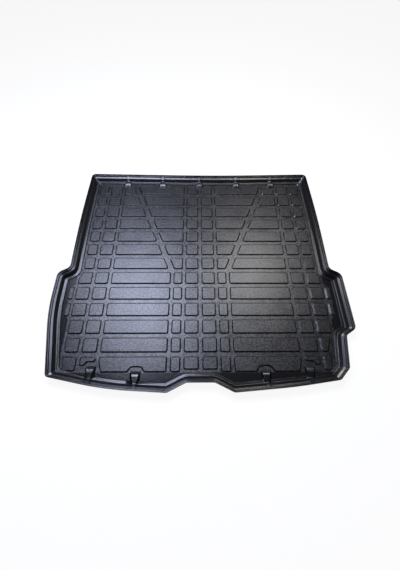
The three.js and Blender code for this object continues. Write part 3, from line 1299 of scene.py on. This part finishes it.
@dataclass(frozen=True)
class MouldedPlastic:
    """Black moulded plastic, grained where it lies level and smooth where it was drawn down, with its
    slopes held at the dark colour partly as painted shade.
    """

    name: str
    # The slopes take the dark colour alone, partly as painted shade
    dark: tuple[float, float, float] = (0.0035, 0.0035, 0.0042)
    light: tuple[float, float, float] = (0.0095, 0.0095, 0.0110)
    roughness: tuple[float, float] = (0.34, 0.44)
    roughness_span: tuple[float, float] = (0.4, 0.6)
    slope_roughness: float = 0.28
    border_roughness: float = 0.2
    field_blur: float = 0.005
    tile_mark: float = 0.99
    level_span: tuple[float, float] = (0.86, 0.985)
    refraction: float = 1.46
    sheen: tuple[float, float] = (0.0, 0.85)
    sheen_span: tuple[float, float] = (0.43, 0.57)
    sheen_roughness: float = 0.4
    cells: float = 560.0
    depth: float = 0.0006
    strength: float = 0.45

    def level_mask(self, tree: bpy.types.NodeTree, normal: bpy.types.NodeSocket) -> bpy.types.NodeSocket:
        """A mask that is 1 on level faces and falls to 0 on slopes.

        Args:
            tree: The material's node tree.
            normal: The surface normal in the object's own directions.

        Returns:
            The mask's socket.
        """
        apart = add_node(tree, "ShaderNodeSeparateXYZ")
        tree.links.new(normal, apart.inputs[0])
        return ramp(tree, apart.outputs["Z"], self.level_span)

    def field_mask(
        self, tree: bpy.types.NodeTree, place: bpy.types.NodeSocket, half: float, front: float
    ) -> bpy.types.NodeSocket:
        """A mask that is 1 on the tiles and between them, and 0 on the wall and the border.

        Args:
            tree: The material's node tree.
            place: The object's own coordinates.
            half: How far the field reaches from the centre line, in metres.
            front: Where the field ends towards the door, in metres.

        Returns:
            The mask's socket.
        """
        apart = add_node(tree, "ShaderNodeSeparateXYZ")
        tree.links.new(place, apart.inputs[0])
        across = computed(tree, "ABSOLUTE", apart.outputs["X"])
        between_sides = ramp(tree, across, (half + self.field_blur, half))
        past_front = ramp(tree, apart.outputs["Y"], (front - self.field_blur, front))
        inside = computed(tree, "MULTIPLY", between_sides, past_front)
        marked = add_node(tree, "ShaderNodeAttribute", attribute_name=FIELD)
        tile = computed(tree, "GREATER_THAN", marked.outputs["Fac"], self.tile_mark)
        return computed(tree, "MAXIMUM", inside, tile)

    def colour(
        self, tree: bpy.types.NodeTree, height: bpy.types.NodeSocket, level: bpy.types.NodeSocket
    ) -> bpy.types.NodeSocket:
        """The colour, which is lighter on the crests of the grain on level faces. On slopes it stays at
        the dark colour, partly for their smooth, ungrained finish and partly as painted shade that deepens
        the dark sides of the tiles, ribs and wall.

        Args:
            tree: The material's node tree.
            height: The height of the grain.
            level: The mask of level faces.

        Returns:
            The colour's socket.
        """
        mix = add_node(tree, "ShaderNodeMix", data_type="RGBA")
        # The level mask holds the slopes at the dark colour: partly painted shade on the sides of the
        # tiles, ribs and wall
        feed(tree, mix.inputs[0], computed(tree, "MULTIPLY", height, level))
        feed(tree, mix.inputs[6], (*self.dark, 1.0))
        feed(tree, mix.inputs[7], (*self.light, 1.0))
        return mix.outputs[2]

    def polish(
        self,
        tree: bpy.types.NodeTree,
        patches: bpy.types.NodeSocket,
        level: bpy.types.NodeSocket,
        inner: bpy.types.NodeSocket,
    ) -> bpy.types.NodeSocket:
        """The roughness, which is patchy on the field and even on the border and the slopes.

        Args:
            tree: The material's node tree.
            patches: The patches of the grain.
            level: The mask of level faces.
            inner: The mask of the field of tiles.

        Returns:
            The roughness's socket.
        """
        patchy = ramp(tree, patches, self.roughness_span, self.roughness, "LINEAR")
        on_level = blended(tree, inner, self.border_roughness, patchy)
        return blended(tree, level, self.slope_roughness, on_level)

    def relief(
        self, tree: bpy.types.NodeTree, height: bpy.types.NodeSocket, level: bpy.types.NodeSocket
    ) -> bpy.types.NodeSocket:
        """The normal of the grained surface.

        Args:
            tree: The material's node tree.
            height: The height of the grain.
            level: The mask of level faces.

        Returns:
            The normal's socket.
        """
        bump = add_node(tree, "ShaderNodeBump", Distance=self.depth)
        feed(tree, bump.inputs["Strength"], computed(tree, "MULTIPLY", level, self.strength))
        feed(tree, bump.inputs["Height"], height)
        return bump.outputs["Normal"]

    def material(self, half: float, front: float) -> bpy.types.Material:
        """Builds the material.

        Args:
            half: How far the field of tiles reaches from the centre line, in metres.
            front: Where the field of tiles ends towards the door, in metres.

        Returns:
            The material, whose colour, roughness, sheen and relief come from the grain.
        """
        material = bare_material(self.name)
        tree = material.node_tree
        where = add_node(tree, "ShaderNodeTexCoord")
        level = self.level_mask(tree, where.outputs["Normal"])
        inner = self.field_mask(tree, where.outputs["Object"], half, front)
        grain = add_node(tree, "ShaderNodeGroup", node_tree=Grain().group(), Cells=self.cells)
        feed(tree, grain.inputs["Position"], where.outputs["Object"])
        height, patches = grain.outputs["Height"], grain.outputs["Patches"]
        sheen = ramp(tree, patches, self.sheen_span, self.sheen, "LINEAR")
        shader = add_node(tree, "ShaderNodeBsdfPrincipled")
        for name, value in (
            ("Base Color", self.colour(tree, height, level)),
            ("Roughness", self.polish(tree, patches, level, inner)),
            ("IOR", self.refraction),
            ("Coat Weight", computed(tree, "MULTIPLY", sheen, inner)),
            ("Coat Roughness", self.sheen_roughness),
            ("Normal", self.relief(tree, height, level)),
        ):
            feed(tree, shader.inputs[name], value)
        output = add_node(tree, "ShaderNodeOutputMaterial")
        tree.links.new(shader.outputs[0], output.inputs["Surface"])
        return material


@dataclass
class Liner:
    """The whole liner as one mesh: tray, tiles and ribs."""

    sheet: Sheet = field(default_factory=Sheet)
    tiles: TileSizes = field(default_factory=TileSizes)
    ribs: RibSizes = field(default_factory=RibSizes)
    finish: MouldedPlastic = field(default_factory=lambda: MouldedPlastic("Grained black plastic"))
    crease_angle: float = math.radians(48)
    level_normal: float = 0.9999
    field_margin: float = 4.5
    field_front: float = -2.0

    def __post_init__(self) -> None:
        """Draws the plan from the sizes."""
        self.plan = Plan(self.sheet, self.tiles)

    def placed(self, mesh: bmesh.types.BMesh, name: str) -> bpy.types.Object:
        """Moves a finished mesh into the frame, in metres, and gives it an object.

        Args:
            mesh: The mesh in plan millimetres, which is freed.
            name: The object's name.

        Returns:
            The object, at the origin.
        """
        bmesh.ops.recalc_face_normals(mesh, faces=mesh.faces)
        bmesh.ops.translate(mesh, verts=mesh.verts, vec=(0, -self.plan.middle_y, 0))
        bmesh.ops.scale(mesh, verts=mesh.verts, vec=(MM, MM, MM))
        data = bpy.data.meshes.new(name)
        mesh.to_mesh(data)
        mesh.free()
        piece = bpy.data.objects.new(name, data)
        bpy.context.scene.collection.objects.link(piece)
        return piece

    def moulding(self) -> bpy.types.Object:
        """Makes the tray and its tiles.

        Returns:
            The object, whose mesh is one closed skin.
        """
        mesh = bmesh.new()
        rims = TileField(self.plan, self.ribs).build(mesh)
        rims += Tray(self.plan).build(mesh)
        bmesh.ops.triangle_fill(mesh, use_beauty=True, edges=rims, normal=(0, 0, 1))
        return self.placed(mesh, "liner")

    def wedges(self) -> bpy.types.Object:
        """Makes the ribs.

        Returns:
            The object, whose mesh is one closed body for each rib.
        """
        mesh = bmesh.new()
        RibSet(self.plan, self.ribs).build(mesh)
        return self.placed(mesh, "wedges")

    def part_level_faces(self, data: bpy.types.Mesh) -> None:
        """Marks the edges around level faces as sharp, so that these shade evenly.

        Args:
            data: The liner's mesh.
        """
        mesh = bmesh.new()
        mesh.from_mesh(data)
        for edge in mesh.edges:
            level = [abs(face.normal.z) > self.level_normal for face in edge.link_faces]
            if any(level) and not all(level):
                edge.smooth = False
        mesh.to_mesh(data)
        mesh.free()

    def joined(self) -> bpy.types.Object:
        """Joins the ribs to the moulding.

        Returns:
            The liner's object, with one mesh and no modifiers.
        """
        liner, wedges = self.moulding(), self.wedges()
        join = liner.modifiers.new("Ribs", "BOOLEAN")
        join.operation = "UNION"
        join.solver = "MANIFOLD"
        join.object = wedges
        graph = bpy.context.evaluated_depsgraph_get()
        whole = bpy.data.meshes.new_from_object(liner.evaluated_get(graph))
        liner.modifiers.clear()
        liner.data = whole
        bpy.data.objects.remove(wedges)
        whole.name = "liner"
        return liner

    def dress(self, liner: bpy.types.Object) -> None:
        """Smooths the liner's shading and gives it the plastic.

        Args:
            liner: The liner's object.
        """
        whole = liner.data
        whole.shade_smooth()
        whole.set_sharp_from_angle(angle=self.crease_angle)
        self.part_level_faces(whole)
        soft = liner.modifiers.new("Even shading", "WEIGHTED_NORMAL")
        soft.keep_sharp = True
        whole.materials.clear()
        half = self.tiles.columns()["outer"][1] + self.tiles.draft + self.field_margin
        front = self.field_front - self.plan.middle_y
        whole.materials.append(self.finish.material(half * MM, front * MM))

    def build(self) -> bpy.types.Object:
        """Makes and dresses the liner, in the place of the plain solid.

        Returns:
            The finished object.
        """
        liner = self.joined()
        self.dress(liner)
        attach(liner, BODY)
        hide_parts(NODE)
        log.info("liner: %d faces", len(liner.data.polygons))
        return liner


@dataclass(frozen=True)
class Softbox:
    """A soft square lamp."""

    name: str
    place: tuple[float, float, float]
    aim: tuple[float, float, float]
    width: float
    height: float
    power: float
    colour: tuple[float, float, float] = (1.0, 1.0, 1.0)

    def build(self) -> None:
        """Hangs the lamp and turns it to what it lights."""
        data = bpy.data.lights.new(self.name, "AREA")
        data.shape = "RECTANGLE"
        data.size, data.size_y = self.width, self.height
        data.energy = self.power
        data.color = self.colour
        lamp = bpy.data.objects.new(self.name, data)
        lamp.location = self.place
        way = Vector(self.aim) - Vector(self.place)
        lamp.rotation_euler = way.to_track_quat("-Z", "Y").to_euler()
        bpy.context.scene.collection.objects.link(lamp)


@dataclass
class Studio:
    """The floor, the lamps and the camera."""

    floor_size: float = 14.0
    floor_colour: tuple[float, float, float] = (0.1, 0.1, 0.1)
    floor_bounce: tuple[float, float, float] = (0.8, 0.8, 0.8)
    floor_glow: float = 0.92
    world_strength: float = 0.05
    horizon_strength: float = 0.55
    horizon_top: float = 0.35
    horizon_span: tuple[float, float] = (0.3, 0.8)
    camera_place: tuple[float, float, float] = (-0.01292, -0.6575, 1.03173)
    pitch: float = math.radians(61.1234)
    yaw: float = math.radians(1.29895)
    roll: float = math.radians(1.09921)
    focal_share: float = 302 / 570
    sensor: float = 36.0
    clip_start: float = 0.01
    lamps: tuple[Softbox, ...] = (
        Softbox("Cool softbox", (-0.50, 0.50, 1.43), (-0.21, -0.15, 0.0), 0.7, 0.85, 37.2,
                (0.70, 0.755, 1.0)),
        Softbox("Warm softbox", (0.44, 0.76, 1.38), (0.20, 0.0, 0.0), 0.5, 0.5, 11.7,
                (1.0, 0.99, 0.97)),
    )

    def camera(self) -> None:
        """Sets the camera at the photograph's viewing angle."""
        data = bpy.data.cameras.new("Camera")
        data.sensor_fit = "VERTICAL"
        data.sensor_height = self.sensor
        data.lens = self.sensor * self.focal_share
        data.clip_start = self.clip_start
        camera = bpy.data.objects.new("Camera", data)
        ahead = Vector(
            (
                math.sin(self.yaw) * math.cos(self.pitch),
                math.cos(self.yaw) * math.cos(self.pitch),
                -math.sin(self.pitch),
            )
        )
        level = Vector((math.cos(self.yaw), -math.sin(self.yaw), 0.0))
        above = level.cross(ahead)
        right = math.cos(self.roll) * level + math.sin(self.roll) * above
        up = math.cos(self.roll) * above - math.sin(self.roll) * level
        turn = Matrix((right, up, -ahead)).transposed()
        camera.matrix_world = Matrix.Translation(self.camera_place) @ turn.to_4x4()
        bpy.context.scene.collection.objects.link(camera)
        bpy.context.scene.camera = camera

    def floor_material(self) -> bpy.types.Material:
        """Makes a pale floor that takes the shadow and shows near white to the camera.

        Returns:
            The floor's material.
        """
        material = bare_material("Studio floor")
        tree = material.node_tree
        path = add_node(tree, "ShaderNodeLightPath").outputs
        seen = computed(tree, "MAXIMUM", path["Is Camera Ray"], path["Is Glossy Ray"])
        shown = computed(tree, "MAXIMUM", seen, path["Is Transmission Ray"])
        glow = add_node(tree, "ShaderNodeEmission", Strength=self.floor_glow)
        thin = add_node(tree, "ShaderNodeBsdfDiffuse", Color=(*self.floor_colour, 1.0))
        full = add_node(tree, "ShaderNodeBsdfDiffuse", Color=(*self.floor_bounce, 1.0))
        bright = add_node(tree, "ShaderNodeAddShader")
        mixed = add_node(tree, "ShaderNodeMixShader")
        output = add_node(tree, "ShaderNodeOutputMaterial")
        for node, values in (
            (bright, (glow.outputs[0], thin.outputs[0])),
            (mixed, (shown, full.outputs[0], bright.outputs[0])),
            (output, (mixed.outputs[0],)),
        ):
            for socket, value in zip(node.inputs, values):
                feed(tree, socket, value)
        return material

    def floor(self) -> None:
        """Lays the floor under the liner."""
        mesh = bmesh.new()
        bmesh.ops.create_grid(mesh, x_segments=1, y_segments=1, size=self.floor_size / 2)
        data = bpy.data.meshes.new("studio_floor")
        mesh.to_mesh(data)
        mesh.free()
        data.materials.append(self.floor_material())
        floor = bpy.data.objects.new("studio_floor", data)
        bpy.context.scene.collection.objects.link(floor)

    def world(self) -> None:
        """Fills the room with a low light that is brighter low down behind the liner."""
        world = bpy.data.worlds.new("Studio")
        world.use_nodes = True
        tree = world.node_tree
        back = tree.nodes["Background"]
        back.inputs["Color"].default_value = (1.0, 1.0, 1.0, 1.0)
        where = add_node(tree, "ShaderNodeTexCoord")
        apart = add_node(tree, "ShaderNodeSeparateXYZ")
        tree.links.new(where.outputs["Generated"], apart.inputs[0])
        low_down = ramp(tree, apart.outputs["Z"], (0.0, self.horizon_top), (self.horizon_strength, 0.0))
        behind = ramp(tree, apart.outputs["Y"], self.horizon_span)
        glow = computed(tree, "MULTIPLY_ADD", low_down, behind, self.world_strength)
        feed(tree, back.inputs["Strength"], glow)
        bpy.context.scene.world = world

    def build(self) -> None:
        """Sets up the studio around the liner."""
        self.camera()
        self.floor()
        self.world()
        for lamp in self.lamps:
            lamp.build()
        bpy.context.scene.view_settings.view_transform = "Standard"
        log.info("studio: %d lamps", len(self.lamps))


def main() -> None:
    """Builds the studio and the liner, and logs what it makes."""
    logging.basicConfig(level=logging.INFO, format="%(name)s: %(message)s")
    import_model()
    Studio().build()
    Liner().build()


if __name__ == "__main__":
    main()
